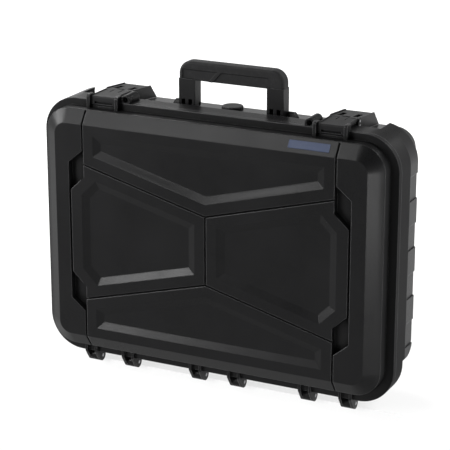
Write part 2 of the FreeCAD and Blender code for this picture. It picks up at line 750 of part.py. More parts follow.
def stand_foot(x):
    """Foot under the base's hinge side, as low as the hinge knuckles and cored from behind."""
    inside_z = -base_wall_z(FOOT_TOP_REAR) + BASE_WALL / 2
    side = [
        (FOOT_TOP_FRONT, inside_z),
        (FOOT_LOW_FRONT, GROUND_Z),
        (FOOT_LOW_REAR, GROUND_Z),
        (FOOT_TOP_REAR, inside_z),
    ]
    half = FOOT_WIDTH / 2
    block = prism_x(side, x - half, x + half)
    core = inset(side, [FOOT_WALL, FOOT_WALL, -MARGIN, 0.0])
    return block.cut(prism_x(core, x - half + FOOT_WALL, x + half - FOOT_WALL))


def handle_bracket(side):
    """Lug on the base beside a handle leg: round about the pivot, sloping away outwards."""
    x0 = HANDLE_HALF_X + HANDLE_SIDE_CLEARANCE
    x1 = x0 + BRACKET_LENGTH
    top = HANDLE_PIVOT_Z + BRACKET_R
    low = base_wall_z(HANDLE_PIVOT_Y + BRACKET_R + BRACKET_SPREAD) - BASE_WALL / 2
    lug = cylinder_x(BRACKET_R, x0, x1, HANDLE_PIVOT_Y, HANDLE_PIVOT_Z)
    post = prism_x([
        (HANDLE_PIVOT_Y - BRACKET_R, HANDLE_PIVOT_Z),
        (HANDLE_PIVOT_Y + BRACKET_R, HANDLE_PIVOT_Z),
        (HANDLE_PIVOT_Y + BRACKET_R + BRACKET_SPREAD, low),
        (HANDLE_PIVOT_Y - BRACKET_R - BRACKET_SPREAD, low),
    ], x0, x1)
    front = HANDLE_PIVOT_Y - BRACKET_R - BRACKET_SPREAD
    rear = HANDLE_PIVOT_Y + BRACKET_R + BRACKET_SPREAD
    outline = [(x0, low), (x1, low), (x1, BRACKET_OUTER_Z), (x1 - BRACKET_END_WALL, top), (x0, top)]
    wedge = prism_y(outline, front, rear)
    bracket = lug.fuse(post).common(wedge)
    return bracket if side > 0 else bracket.mirror(vec(0, 0, 0), vec(1, 0, 0))


def handle_pin_ends(side):
    outer = side * (HANDLE_HALF_X + HANDLE_SIDE_CLEARANCE + BRACKET_LENGTH - BRACKET_END_WALL)
    return sorted((outer, outer - side * HANDLE_PIN_LENGTH))


def lever_ears(side):
    """Two lugs on the base's top wall that carry a latch lever's pin."""
    low = base_wall_z(LEVER_PIVOT_Y) - BASE_WALL / 2
    lugs = []
    for x0, x1 in both_sides(LEVER_EAR_X, LEVER_EAR_X + LEVER_EAR_THICKNESS):
        start = side * LATCH_X + x0
        end = side * LATCH_X + x1
        disc = cylinder_x(LEVER_EAR_R, start, end, LEVER_PIVOT_Y, LEVER_PIVOT_Z)
        post = box(start, end, LEVER_PIVOT_Y - LEVER_EAR_R, LEVER_PIVOT_Y + LEVER_EAR_R, low, LEVER_PIVOT_Z)
        bore = cylinder_x(LEVER_PIN_R, start - MARGIN, end + MARGIN, LEVER_PIVOT_Y, LEVER_PIVOT_Z)
        lugs.append(disc.fuse(post).cut(bore))
    return lugs


def make_base_shell():
    rim = rounded_prism(RIM_HALF_X, RIM_LOW_Z, RIM_TOP_Z, RIM_CORNER, BASE_FRONT, RIM_REAR)
    rim = rim.cut(skirt_hollow(SKIRT_HOLLOW_FRONT, RIM_REAR + MARGIN))
    pieces = [rim, base_outside()]
    pieces.append(seal_ring(TONGUE_WIDTH, BASE_FRONT - TONGUE_HEIGHT, BASE_FRONT))
    for side in (-1, 1):
        pieces += bumper(side)
        pieces.append(stand_foot(side * FOOT_X))
        pieces.append(handle_bracket(side))
        pieces += lever_ears(side)
    pieces += [hinge_knuckle(station) for station in HINGE_STATIONS]
    solid = fuse(pieces)
    border = DRAFT * (CASE_DEPTH - RIM_REAR) + BASE_REAR_ROUND + BACK_PANEL_MARGIN
    panel = rounded_prism(BASE_HALF_X - border, border - BASE_HALF_Z, BASE_HALF_Z - border,
                          BACK_PANEL_CORNER, CASE_DEPTH - BACK_PANEL_DEPTH, CASE_DEPTH + MARGIN)
    tools = [base_cavity(), panel]
    for side in (-1, 1):
        tools += pad_recesses(side)
        start, end = handle_pin_ends(side)
        tools.append(cylinder_x(HANDLE_PIN_R, start, end, HANDLE_PIVOT_Y, HANDLE_PIVOT_Z))
    shell = solid.cut(tools)
    boss = Part.makeCylinder(VALVE_BOSS_R, VALVE_BOSS_TOP - VALVE_BOSS_LOW, vec(0, VALVE_Y, VALVE_BOSS_LOW))
    bore = Part.makeCylinder(VALVE_STEM_R + VALVE_STEM_CLEARANCE, 2 * VALVE_BOSS_TOP,
                             vec(0, VALVE_Y, 0))
    return shell.fuse(boss).removeSplitter().cut(bore)


# Hinge pins, padlock eyes


def make_hinge_pin(station):
    """Steel pin through the knuckle and both ears of one hinge station."""
    half = (HINGE_EAR_PITCH + HINGE_EAR_THICKNESS) / 2 + HINGE_PIN_OVERHANG
    return cylinder_x(HINGE_PIN_R, station - half, station + half, HINGE_Y, HINGE_Z)


def make_padlock_eye(side, y0, y1):
    """Round-topped block on the rim with the hole for a padlock's shackle."""
    x = side * EYE_X
    top = EYE_Z + EYE_HOLE_R + EYE_TOP_WALL
    radius = EYE_HALF
    centre = vec(x, y0, top - radius)
    arc = Part.Arc(centre + vec(radius, 0, 0), centre + vec(0, 0, radius), centre + vec(-radius, 0, 0))
    low_left = vec(x - EYE_HALF, y0, RIM_TOP_Z)
    low_right = vec(x + EYE_HALF, y0, RIM_TOP_Z)
    edges = [
        arc.toShape(),
        Part.LineSegment(centre + vec(-radius, 0, 0), low_left).toShape(),
        Part.LineSegment(low_left, low_right).toShape(),
        Part.LineSegment(low_right, centre + vec(radius, 0, 0)).toShape(),
    ]
    block = Part.Face(Part.Wire(edges)).extrude(vec(0, y1 - y0, 0))
    hole = Part.makeCylinder(EYE_HOLE_R, y1 - y0 + 2 * MARGIN, vec(x, y0 - MARGIN, EYE_Z), vec(0, 1, 0))
    return block.cut(hole)


# Latches


def lever_cheek(x0, x1):
    """Side plate of a lever: round about its pivot, with a slanted rear end."""
    disc = cylinder_x(LEVER_CHEEK_R, x0, x1, LEVER_PIVOT_Y, LEVER_PIVOT_Z)
    rear_low = (LEVER_CHEEK_REAR_Y, base_wall_z(LEVER_CHEEK_REAR_Y) + LEVER_WALL_GAP)
    plate = prism_x([
        (LEVER_PIVOT_Y, HOOK_TOP_Z),
        (LEVER_REAR_Y, LEVER_REAR_Z),
        rear_low,
        tangent_point(rear_low, (LEVER_PIVOT_Y, LEVER_PIVOT_Z), LEVER_CHEEK_R, 1),
        (LEVER_PIVOT_Y, LEVER_PIVOT_Z),
    ], x0, x1)
    return [disc, plate]


def make_latch_lever(side):
    """Lever: slotted top plate, two tall cheeks with raised edges and a knuckle for the hook's pin."""
    pieces = []
    for x0, x1 in both_sides(LEVER_HALF - LEVER_CHEEK, LEVER_HALF):
        pieces += lever_cheek(x0, x1)
    for x0, x1 in both_sides(LEVER_HALF - LEVER_RAIL_WIDTH, LEVER_HALF):
        pieces.append(prism_x([
            (LEVER_PIVOT_Y, HOOK_TOP_Z),
            (LEVER_PIVOT_Y + LEVER_RAIL_HEIGHT, HOOK_TOP_Z + LEVER_RAIL_HEIGHT),
            (LEVER_REAR_Y, LEVER_REAR_Z + LEVER_RAIL_HEIGHT),
            (LEVER_REAR_Y, LEVER_REAR_Z),
        ], x0, x1))
    pieces.append(prism_x([
        (LEVER_PIVOT_Y, HOOK_TOP_Z),
        (LEVER_REAR_Y, LEVER_REAR_Z),
        (LEVER_REAR_Y + LEVER_PLATE, LEVER_REAR_Z - LEVER_PLATE),
        (LEVER_PIVOT_Y, HOOK_TOP_Z - LEVER_PLATE),
    ], -LEVER_HALF, LEVER_HALF))
    pieces.append(cylinder_x(HOOK_KNUCKLE_R, -LEVER_HALF, LEVER_HALF, LEVER_PIVOT_Y, HOOK_PIVOT_Z))
    tongue_gap = TONGUE_HALF + HOOK_SIDE_CLEARANCE
    tongue_reach = HOOK_KNUCKLE_R + HOOK_GAP + LEVER_PLATE
    tools = [
        box(-tongue_gap, tongue_gap, LEVER_PIVOT_Y - tongue_reach, LEVER_PIVOT_Y + tongue_reach,
            LEVER_PIVOT_Z, HOOK_TOP_Z + MARGIN),
        cylinder_x(HOOK_PIN_R, -LEVER_HALF - MARGIN, LEVER_HALF + MARGIN, LEVER_PIVOT_Y, HOOK_PIVOT_Z),
        cylinder_x(LEVER_PIN_R + PIN_CLEARANCE, -LEVER_HALF - MARGIN, LEVER_HALF + MARGIN,
                   LEVER_PIVOT_Y, LEVER_PIVOT_Z),
    ]
    ear_end = LEVER_EAR_X + LEVER_EAR_THICKNESS
    for x0, x1 in both_sides(LEVER_EAR_X - LEVER_EAR_GAP, ear_end + LEVER_EAR_GAP):
        tools.append(cylinder_x(LEVER_EAR_R + LEVER_EAR_GAP, x0, x1, LEVER_PIVOT_Y, LEVER_PIVOT_Z))
    for x0, x1 in both_sides(LEVER_SLOT_X, LEVER_SLOT_X + LEVER_SLOT_WIDTH):
        tools.append(box(x0, x1, LEVER_SLOT_FRONT, LEVER_SLOT_REAR, LEVER_PIVOT_Z, HOOK_TOP_Z + MARGIN))
    lever = carve(fuse(pieces), tools)
    return lever.translated(vec(side * LATCH_X, 0, 0))


def make_latch_hook(side):
    """Hook plate over both rims: a windowed nose, side flanges and a tongue round the lever's pin."""
    nose_rear = HOOK_FRONT + HOOK_NOSE
    plate = prism_x([
        (HOOK_FRONT, HOOK_NOSE_LOW_Z),
        (HOOK_FRONT, HOOK_TOP_Z - HOOK_EDGE),
        (HOOK_FRONT + HOOK_EDGE, HOOK_TOP_Z),
        (HOOK_PLATE_REAR, HOOK_TOP_Z),
        (HOOK_PLATE_REAR, HOOK_PIVOT_Z),
        (nose_rear, HOOK_PIVOT_Z),
        (nose_rear, HOOK_NOSE_LOW_Z),
    ], -HOOK_HALF, HOOK_HALF)
    pieces = [plate]
    flange = [
        (HOOK_FLANGE_FRONT, HOOK_PIVOT_Z),
        (HOOK_FLANGE_FRONT, HOOK_FLANGE_LOW_Z),
        (HOOK_FLANGE_REAR, HOOK_FLANGE_LOW_Z),
        (HOOK_FLANGE_END, HOOK_PIVOT_Z),
    ]
    for x0, x1 in both_sides(HOOK_FLANGE_HALF - HOOK_FLANGE_THICKNESS, HOOK_FLANGE_HALF):
        pieces.append(prism_x(flange, x0, x1))
    for x0, x1 in both_sides(HOOK_HALF - HOOK_RAIL_WIDTH, HOOK_HALF):
        pieces.append(prism_x([
            (HOOK_FRONT + HOOK_EDGE, HOOK_TOP_Z),
            (HOOK_FRONT + 2 * HOOK_EDGE, HOOK_TOP_Z + LEVER_RAIL_HEIGHT),
            (HOOK_PLATE_REAR, HOOK_TOP_Z + LEVER_RAIL_HEIGHT),
            (HOOK_PLATE_REAR, HOOK_TOP_Z),
        ], x0, x1))
    pieces.append(box(-TONGUE_HALF, TONGUE_HALF, HOOK_PLATE_REAR, LEVER_PIVOT_Y, HOOK_PIVOT_Z, HOOK_TOP_Z))
    pieces.append(cylinder_x(HOOK_KNUCKLE_R, -TONGUE_HALF, TONGUE_HALF, LEVER_PIVOT_Y, HOOK_PIVOT_Z))
    tools = [cylinder_x(HOOK_PIN_R + PIN_CLEARANCE, -HOOK_HALF, HOOK_HALF, LEVER_PIVOT_Y, HOOK_PIVOT_Z)]
    for x0, x1 in both_sides(TONGUE_HALF, TONGUE_HALF + TONGUE_SLIT):
        tools.append(box(x0, x1, TONGUE_SLIT_FRONT, LEVER_PIVOT_Y + HOOK_KNUCKLE_R, HOOK_NOSE_LOW_Z,
                         HOOK_TOP_Z + MARGIN))
    sill = HOOK_NOSE_LOW_Z + HOOK_WINDOW_SILL
    tools.append(box(-HOOK_WINDOW_HALF, HOOK_WINDOW_HALF, HOOK_FRONT - MARGIN, nose_rear + MARGIN,
                     sill, sill + HOOK_WINDOW_HEIGHT))
    hook = carve(fuse(pieces), tools)
    return hook.translated(vec(side * LATCH_X, 0, 0))


def make_lever_pin(side):
    x = side * LATCH_X
    return cylinder_x(LEVER_PIN_R, x - LEVER_HALF, x + LEVER_HALF, LEVER_PIVOT_Y, LEVER_PIVOT_Z)


def make_hook_pin(side):
    x = side * LATCH_X
    return cylinder_x(HOOK_PIN_R, x - LEVER_HALF, x + LEVER_HALF, LEVER_PIVOT_Y, HOOK_PIVOT_Z)


# Handle


def handle_outline(half_x, z_low, z_high, corner, y0, y1):
    """Bar outline with its two upper corners rounded."""
    turn = corner * math.sqrt(0.5)
    right = vec(half_x - corner, y0, z_high - corner)
    left = vec(corner - half_x, y0, z_high - corner)
    points = [
        vec(half_x, y0, z_low),
        vec(half_x, y0, z_high - corner),
        vec(half_x - corner, y0, z_high),
        vec(corner - half_x, y0, z_high),
        vec(-half_x, y0, z_high - corner),
        vec(-half_x, y0, z_low),
    ]
    edges = [
        Part.LineSegment(points[0], points[1]).toShape(),
        Part.Arc(points[1], right + vec(turn, 0, turn), points[2]).toShape(),
        Part.LineSegment(points[2], points[3]).toShape(),
        Part.Arc(points[3], left + vec(-turn, 0, turn), points[4]).toShape(),
        Part.LineSegment(points[4], points[5]).toShape(),
        Part.LineSegment(points[5], points[0]).toShape(),
    ]
    return Part.Face(Part.Wire(edges)).extrude(vec(0, y1 - y0, 0))


def handle_leg(side):
    """Leg with a round foot about the pivot and two cored notches in its front."""
    x0 = HANDLE_HALF_X - HANDLE_LEG_WIDTH
    x1 = HANDLE_HALF_X
    low = HANDLE_PIVOT_Z - HANDLE_FOOT_R
    foot = cylinder_x(HANDLE_FOOT_R, x0, x1, HANDLE_PIVOT_Y, HANDLE_PIVOT_Z)
    rear = HANDLE_PIVOT_Y + HANDLE_FOOT_R
    shank = prism_x([
        (HANDLE_FRONT, HANDLE_SEAM),
        (HANDLE_FRONT, low + HANDLE_FOOT_CHAMFER),
        (HANDLE_FRONT + HANDLE_FOOT_CHAMFER, low),
        (HANDLE_PIVOT_Y, low),
        (HANDLE_PIVOT_Y, HANDLE_PIVOT_Z),
        (rear, HANDLE_PIVOT_Z),
        (HANDLE_FRONT + HANDLE_THICKNESS, HANDLE_SEAM),
    ], x0, x1)
    leg = foot.fuse(shank).removeSplitter()
    middle = HANDLE_HALF_X - HANDLE_LEG_WIDTH / 2
    tools = [cylinder_x(HANDLE_PIN_R + PIN_CLEARANCE, x0 - MARGIN, x1 + MARGIN,
                        HANDLE_PIVOT_Y, HANDLE_PIVOT_Z)]
    for edge in (-1, 1):
        centre = middle + edge * HANDLE_NOTCH_PITCH / 2
        tools.append(box(centre - HANDLE_NOTCH_WIDTH / 2, centre + HANDLE_NOTCH_WIDTH / 2,
                         HANDLE_FRONT - MARGIN, HANDLE_FRONT + HANDLE_NOTCH_DEPTH,
                         HANDLE_NOTCH_Z, HANDLE_NOTCH_Z + HANDLE_NOTCH_HEIGHT))
    leg = leg.cut(tools)
    return leg if side > 0 else leg.mirror(vec(0, 0, 0), vec(1, 0, 0))


def handle_core():
    """Tenons and crossbar of the frame inside the grip."""
    inset_by = HANDLE_CORE_INSET
    rear = HANDLE_FRONT + HANDLE_THICKNESS
    outer = handle_outline(HANDLE_HALF_X - inset_by, HANDLE_SEAM, HANDLE_TOP - inset_by,
                           HANDLE_CORNER - inset_by, HANDLE_FRONT + inset_by, rear - inset_by)
    gap_half = HANDLE_HALF_X - HANDLE_LEG_WIDTH + inset_by
    window = box(-gap_half, gap_half, HANDLE_FRONT, rear, HANDLE_SEAM - MARGIN, HANDLE_GRIP_LOW + inset_by)
    return outer.cut(window)


def make_handle_frame():
    return fuse([handle_leg(-1), handle_leg(1), handle_core()])


def grip_panels():
    """Outlines of the two sunk panels of a grip face, parted by a slanted bar."""
    low = HANDLE_GRIP_LOW - MARGIN
    high = GRIP_PANEL_TOP
    end = HANDLE_HALF_X - GRIP_PANEL_END
    right_end = HANDLE_HALF_X - GRIP_PANEL_RIGHT
    bar_low = GRIP_BAR_LOW_X
    bar_high = GRIP_BAR_LOW_X + GRIP_BAR_RUN
    left = [(-end, low), (bar_low, low), (bar_high, high), (-end, high)]
    right = [
        (bar_low + GRIP_BAR_WIDTH, low),
        (right_end, low),
        (right_end, high - GRIP_PANEL_CHAMFER),
        (right_end - GRIP_PANEL_CHAMFER, high),
        (bar_high + GRIP_BAR_WIDTH, high),
    ]
    return [left, right]


def make_handle_grip():
    """Soft grip over the frame's crossbar, with rounded edges and sunk panels in front and behind."""
    rear = HANDLE_FRONT + HANDLE_THICKNESS
    outer = handle_outline(HANDLE_HALF_X, HANDLE_SEAM, HANDLE_TOP, HANDLE_CORNER, HANDLE_FRONT, rear)
    gap_half = HANDLE_HALF_X - HANDLE_LEG_WIDTH
    lip = box(-gap_half, gap_half, HANDLE_FRONT, rear, HANDLE_GRIP_LOW, HANDLE_SEAM)
    block = outer.fuse(lip).removeSplitter()
    edges = []
    for edge in block.Edges:
        bounds = edge.BoundBox
        flat = bounds.YMax - bounds.YMin < MARGIN / 100
        if flat and bounds.ZMax > HANDLE_SEAM + MARGIN:
            edges.append(edge)
    block = block.makeFillet(HANDLE_EDGE, edges)
    tools = [handle_core()]
    for outline in grip_panels():
        tools.append(prism_y(outline, HANDLE_FRONT - MARGIN, HANDLE_FRONT + GRIP_PANEL_DEPTH))
        tools.append(prism_y(mirrored(outline), rear - GRIP_PANEL_DEPTH, rear + MARGIN))
    return carve(block, tools)


def make_handle_pin(side):
    start, end = handle_pin_ends(side)
    return cylinder_x(HANDLE_PIN_R, start, end, HANDLE_PIVOT_Y, HANDLE_PIVOT_Z)


# Purge valve


def valve_cylinder(radius, z0, z1):
    return Part.makeCylinder(radius, z1 - z0, vec(0, VALVE_Y, z0))


def make_valve_body():
    stem = valve_cylinder(VALVE_STEM_R, VALVE_BOSS_LOW - VALVE_NUT_HEIGHT, VALVE_BOSS_TOP)
    flange = valve_cylinder(VALVE_FLANGE_R, VALVE_BOSS_TOP, VALVE_BOSS_TOP + VALVE_FLANGE)
    spigot = valve_cylinder(VALVE_SPIGOT_R, VALVE_BOSS_TOP, VALVE_SPIGOT_TOP)
    depth = 2 * VALVE_RING_SECTION
    outer = valve_cylinder(VALVE_RING_R + VALVE_RING_SECTION, VALVE_BOSS_TOP, VALVE_BOSS_TOP + depth)
    inner = valve_cylinder(VALVE_RING_R - VALVE_RING_SECTION, VALVE_BOSS_TOP, VALVE_BOSS_TOP + depth)
    return fuse([stem, flange, spigot]).cut(outer.cut(inner))


def make_valve_ring():
    middle = vec(0, VALVE_Y, VALVE_BOSS_TOP + VALVE_RING_SECTION)
    return Part.makeTorus(VALVE_RING_R, VALVE_RING_SECTION, middle)


def make_valve_nut():
    points = []
    radius = VALVE_NUT_HALF / math.cos(math.radians(30))
    for count in range(6):
        turn = math.radians(60 * count)
        points.append((radius * math.cos(turn), VALVE_Y + radius * math.sin(turn)))
    nut = prism_z(points, VALVE_BOSS_LOW - VALVE_NUT_HEIGHT, VALVE_BOSS_LOW)
    return nut.cut(valve_cylinder(VALVE_STEM_R, VALVE_BOSS_LOW - VALVE_NUT_HEIGHT, VALVE_BOSS_LOW))


def make_valve_knob():
    knob = valve_cylinder(VALVE_KNOB_R, VALVE_KNOB_LOW, VALVE_KNOB_TOP)
    upper = [edge for edge in knob.Edges if edge.BoundBox.ZMin > VALVE_KNOB_TOP - MARGIN / 100]
    knob = knob.makeFillet(VALVE_KNOB_ROUND, upper)
    tools = [valve_cylinder(VALVE_SPIGOT_R + PIN_CLEARANCE, VALVE_KNOB_LOW - MARGIN,
                            VALVE_SPIGOT_TOP + VALVE_STEM_CLEARANCE)]
    for count in range(VALVE_KNOB_FLUTES):
        turn = 2 * math.pi * count / VALVE_KNOB_FLUTES
        reach = VALVE_KNOB_R + VALVE_FLUTE_OUT
        tools.append(Part.makeCylinder(
            VALVE_FLUTE_R, VALVE_KNOB_TOP - VALVE_KNOB_LOW + 2 * MARGIN,
            vec(reach * math.cos(turn), VALVE_Y + reach * math.sin(turn), VALVE_KNOB_LOW - MARGIN)))
    return knob.cut(tools)


# Assembly


def all_pieces():
    pieces = {
        "lid_shell": make_lid_shell(),
        "lid_gasket": make_seal(),
        "base_shell": make_base_shell(),
        "handle_frame": make_handle_frame(),
        "handle_grip": make_handle_grip(),
        "valve_body": make_valve_body(),
        "valve_ring": make_valve_ring(),
        "valve_nut": make_valve_nut(),
        "valve_knob": make_valve_knob(),
    }
    for count, station in enumerate(HINGE_STATIONS, 1):
        pieces["hinge_pin_%d" % count] = make_hinge_pin(station)
    for side, name in ((-1, "left"), (1, "right")):
        pieces["latch_lever_" + name] = make_latch_lever(side)
        pieces["latch_hook_" + name] = make_latch_hook(side)
        pieces["latch_lever_pin_" + name] = make_lever_pin(side)
        pieces["latch_hook_pin_" + name] = make_hook_pin(side)
        pieces["handle_pin_" + name] = make_handle_pin(side)
        pieces["lid_padlock_eye_" + name] = make_padlock_eye(side, RIM_FRONT, LID_DEPTH)
        pieces["base_padlock_eye_" + name] = make_padlock_eye(side, BASE_FRONT, EYE_BASE_REAR)
    return pieces


def place(shape):
    return shape.translated(vec(0, -CASE_DEPTH / 2, -GROUND_Z))


def main():
    os.makedirs("parts", exist_ok=True)
    for name, shape in all_pieces().items():
        placed = place(shape)
        solids = placed.Solids
        if len(solids) == 1:
            placed = solids[0]
        volume = round(placed.Volume / 1000.0, 2)
        print(name, "solids", len(solids), "valid", placed.isValid(), "volume", volume)
        placed.exportStep("parts/%s.step" % name)


main()
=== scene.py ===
import json
import math

import bmesh
import bpy
from mathutils import Matrix, Vector


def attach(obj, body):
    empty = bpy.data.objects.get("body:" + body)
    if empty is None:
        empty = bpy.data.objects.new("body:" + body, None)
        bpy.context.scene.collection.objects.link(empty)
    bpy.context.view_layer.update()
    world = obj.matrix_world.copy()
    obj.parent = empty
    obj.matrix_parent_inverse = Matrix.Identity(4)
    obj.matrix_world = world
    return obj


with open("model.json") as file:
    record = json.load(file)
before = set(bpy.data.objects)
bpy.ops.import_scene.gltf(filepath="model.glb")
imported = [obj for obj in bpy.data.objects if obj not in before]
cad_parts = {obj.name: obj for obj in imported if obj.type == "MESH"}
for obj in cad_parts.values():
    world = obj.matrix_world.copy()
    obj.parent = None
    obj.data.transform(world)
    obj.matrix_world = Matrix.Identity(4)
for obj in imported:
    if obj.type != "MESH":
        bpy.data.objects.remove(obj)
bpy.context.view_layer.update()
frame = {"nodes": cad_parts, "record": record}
nodes = frame["nodes"]
scene = bpy.context.scene

# All lengths are metres in the shared frame: X to the right, Y to the back, Z up

# Face of the lid and the bevel round it
FACE_Y = -0.082
FACE_MIDDLE_Z = 0.2155
FACE_HALF_Z = 0.161
BEVEL_RISE = 0.0194
BEVEL_DEPTH = 0.0134

# Rim: its outline over the face's middle, its outer sides and the front end of the bumper pads
RIM_HALF_X = 0.275
RIM_TOP = 0.1905
RIM_CORNER = 0.0517
RIM_SIDE_X = 0.2738
RIM_SIDE_BLEND = 0.02
PADS_FRONT_Y = -0.0085

# Long grooves of the lid and the tabs of the side panels that bridge them
GROOVE_X = 0.196
GROOVE_HALF = 0.0014
TAB_END_Z = 0.08295
TAB_SIDE_Z = 0.06295
TAB_X = 0.2162
BRIDGE_FLOOR = 0.0029
BRIDGE_MARGIN = 0.0022

# Recess of a side panel: the lines of its upper edge and its chamfer, and the run of its walls
PANEL_LINE_START = 0.05055
PANEL_LINE_SLOPE = 0.26532
CHAMFER_SLOPE = 0.9901
RECESS_INSET = 0.017
RECESS_DEPTH = 0.0042
RECESS_RUN = 0.011

# Label plate: its size and its place on the upper bevel, as a share of the bevel's height
LABEL_LENGTH = 0.0606
LABEL_WIDTH = 0.0118
LABEL_X = 0.1537
LABEL_SHARE = 0.508

# Label plate from the back to the sunk middle: step in, height, corner radius
LABEL_RINGS = (
    (0.0, -0.0002, 0.0012),
    (0.0, 0.00035, 0.0012),
    (0.00015, 0.0005, 0.0011),
    (0.0007, 0.0005, 0.0008),
    (0.0009, 0.0003, 0.0006),
)

# Webs at the bumpers' upper ends: both faces, front and rear, and how far they stay inside the rim's outline
WEB_FACES_X = (0.2322, 0.2352)
WEB_FRONT_Y = -0.0170
WEB_REAR_Y = 0.0195
WEB_TOP_INSET = 0.0017
WEB_WALL_INSET = 0.0140
BASE_DRAFT = 0.1051

# Pans under the slots of the latch levers: places, size, and the slope of the lever that they follow
LATCH_X = 0.176
PAN_MIDDLES = (-0.0115, 0.0115)
PAN_WIDTH = 0.0098
PAN_FRONT_Y = 0.0024
PAN_REAR_Y = 0.0262
PAN_DEPTH = 0.0026
PAN_WALL_RUN = 0.0012
PAN_LIFT = 0.0001
PAN_DROP = 0.0009
LEVER_PIVOT_Y = -0.005
LEVER_UNDERSIDE_Z = 0.4099
LEVER_SLOPE = 0.0819

# Edges sharper than this, in degrees, are rounded; the steps of curved faces stay below it
EDGE_ANGLE = 12
EDGE_WIDTH = 0.0004
EDGE_WIDTHS = {"shell_plastic": 0.0008, "latch_plastic": 0.0005, "grip_rubber": 0.0008}
WELD_REACH = 0.00001

# Painted highlight along the edges and painted shade in the hollows: rays for each, how far they look, and
# the tones
SHADE_RAYS = 6
EDGE_REACH = 0.003
HOLLOW_REACH = 0.012
EDGE_HIGHLIGHT_TONE = (0.075, 0.075, 0.077)
HOLLOW_SHADE_TONE = (0.0008, 0.0008, 0.0008)
HOLLOW_DULLING = 0.6
RIM_DULLING = 0.5
SCUFF_GLOSS = -0.18

# White floor: half its size, and the step in front of which the lid swings down
FLOOR_REACH = 8.0
FLOOR_STEP_Y = -0.030
FLOOR_STEP_DEPTH = 0.35
FLOOR_SHADE_TOP = -0.12
FLOOR_TONE = (0.22, 0.22, 0.22, 1.0)
WHITE = (1.0, 1.0, 1.0, 1.0)

# Camera fitted to the photograph: focal length and width in pixels, place, and angles in degrees
FOCAL_PIXELS = 1824.34
PICTURE_PIXELS = 450.0
SENSOR_WIDTH = 36.0
CAMERA_PLACE = (1.09396, -2.24366, 1.04564)
CAMERA_DIP = 18.08
CAMERA_TURN = 26.18
CAMERA_REACH = 60.0


# Node trees and materials


class NodeTree:
    """A node tree under construction: short names for adding and linking its nodes."""

    def __init__(self, tree):
        self.tree = tree

    def add(self, kind, **values):
        node = self.tree.nodes.new(kind)
        for key, value in values.items():
            setattr(node, key, value)
        return node

    def link(self, source, target):
        self.tree.links.new(source, target)

    def fill(self, socket, value):
        """Set an input to a number or a colour, or link it to an output."""
        if isinstance(value, (int, float)):
            socket.default_value = value
        elif isinstance(value, tuple):
            socket.default_value = (*value, 1.0)
        else:
            self.link(value, socket)

    def coordinates(self, kind):
        return self.add("ShaderNodeTexCoord").outputs[kind]

    def axes(self, vector):
        node = self.add("ShaderNodeSeparateXYZ")
        self.link(vector, node.inputs["Vector"])
        return node.outputs

    def remap(self, source, low, high, to_low, to_high):
        node = self.add("ShaderNodeMapRange")
        self.fill(node.inputs["Value"], source)
        self.fill(node.inputs["From Min"], low)
        self.fill(node.inputs["From Max"], high)
        self.fill(node.inputs["To Min"], to_low)
        self.fill(node.inputs["To Max"], to_high)
        return node.outputs["Result"]

    def math(self, operation, first, second):
        node = self.add("ShaderNodeMath", operation=operation)
        self.fill(node.inputs[0], first)
        self.fill(node.inputs[1], second)
        return node.outputs["Value"]

    def near(self, value, middle, reach):
        """1 where a value is within reach of the middle."""
        output = self.math("COMPARE", value, middle)
        output.node.inputs[2].default_value = reach
        return output


class Shader(NodeTree):
    """A material under construction, on a Principled surface."""

    def __init__(self, name):
        self.material = bpy.data.materials.new(name)
        self.material.use_nodes = True
        super().__init__(self.material.node_tree)
        self.surface = self.tree.nodes["Principled BSDF"]
        self.coords = self.coordinates("Object")

    def noise(self, scale, detail, roughness=0.55, stretch=None):
        node = self.add("ShaderNodeTexNoise")
        node.inputs["Scale"].default_value = scale
        node.inputs["Detail"].default_value = detail
        node.inputs["Roughness"].default_value = roughness
        vector = self.coords
        if stretch is not None:
            mapping = self.add("ShaderNodeMapping")
            mapping.inputs["Scale"].default_value = stretch
            self.link(self.coords, mapping.inputs["Vector"])
            vector = mapping.outputs["Vector"]
        self.link(vector, node.inputs["Vector"])
        return node.outputs["Fac"]

    def voronoi(self, scale):
        node = self.add("ShaderNodeTexVoronoi")
        node.inputs["Scale"].default_value = scale
        self.link(self.coords, node.inputs["Vector"])
        return node.outputs["Distance"]

    def mix(self, factor, first, second):
        node = self.add("ShaderNodeMix", data_type="RGBA")
        self.link(factor, node.inputs["Factor"])
        self.fill(node.inputs[6], first)
        self.fill(node.inputs[7], second)
        return node.outputs[2]

    def flat_normal(self):
        return self.add("ShaderNodeNewGeometry").outputs["Normal"]

    def rounded(self, radius):
        """Normals that run round each edge, as on a moulding with its edges broken."""
        node = self.add("ShaderNodeBevel", samples=SHADE_RAYS)
        node.inputs["Radius"].default_value = radius
        return node.outputs["Normal"]

    def openness(self, reach):
        """1 on open faces and less down in grooves and pockets no wider than about the reach."""
        node = self.add("ShaderNodeAmbientOcclusion", samples=SHADE_RAYS, only_local=True)
        node.inputs["Distance"].default_value = reach
        return node.outputs["AO"]

    def edge_highlight_mask(self, normal, openness):
        """1 along the outer edges that are about square, where the rounded normal turns most: the mask of the
        painted edge highlight.
        """
        turn = self.add("ShaderNodeVectorMath", operation="DOT_PRODUCT")
        self.link(self.flat_normal(), turn.inputs[0])
        self.link(normal, turn.inputs[1])
        turned = self.remap(turn.outputs["Value"], 0.94, 0.79, 0.0, 1.0)
        return self.math("MULTIPLY", turned, self.remap(openness, 0.60, 0.85, 0.0, 1.0))

    def bump(self, height, strength, distance, under=None):
        node = self.add("ShaderNodeBump")
        node.inputs["Strength"].default_value = strength
        node.inputs["Distance"].default_value = distance
        self.link(height, node.inputs["Height"])
        if under is not None:
            self.link(under, node.inputs["Normal"])
        return node.outputs["Normal"]


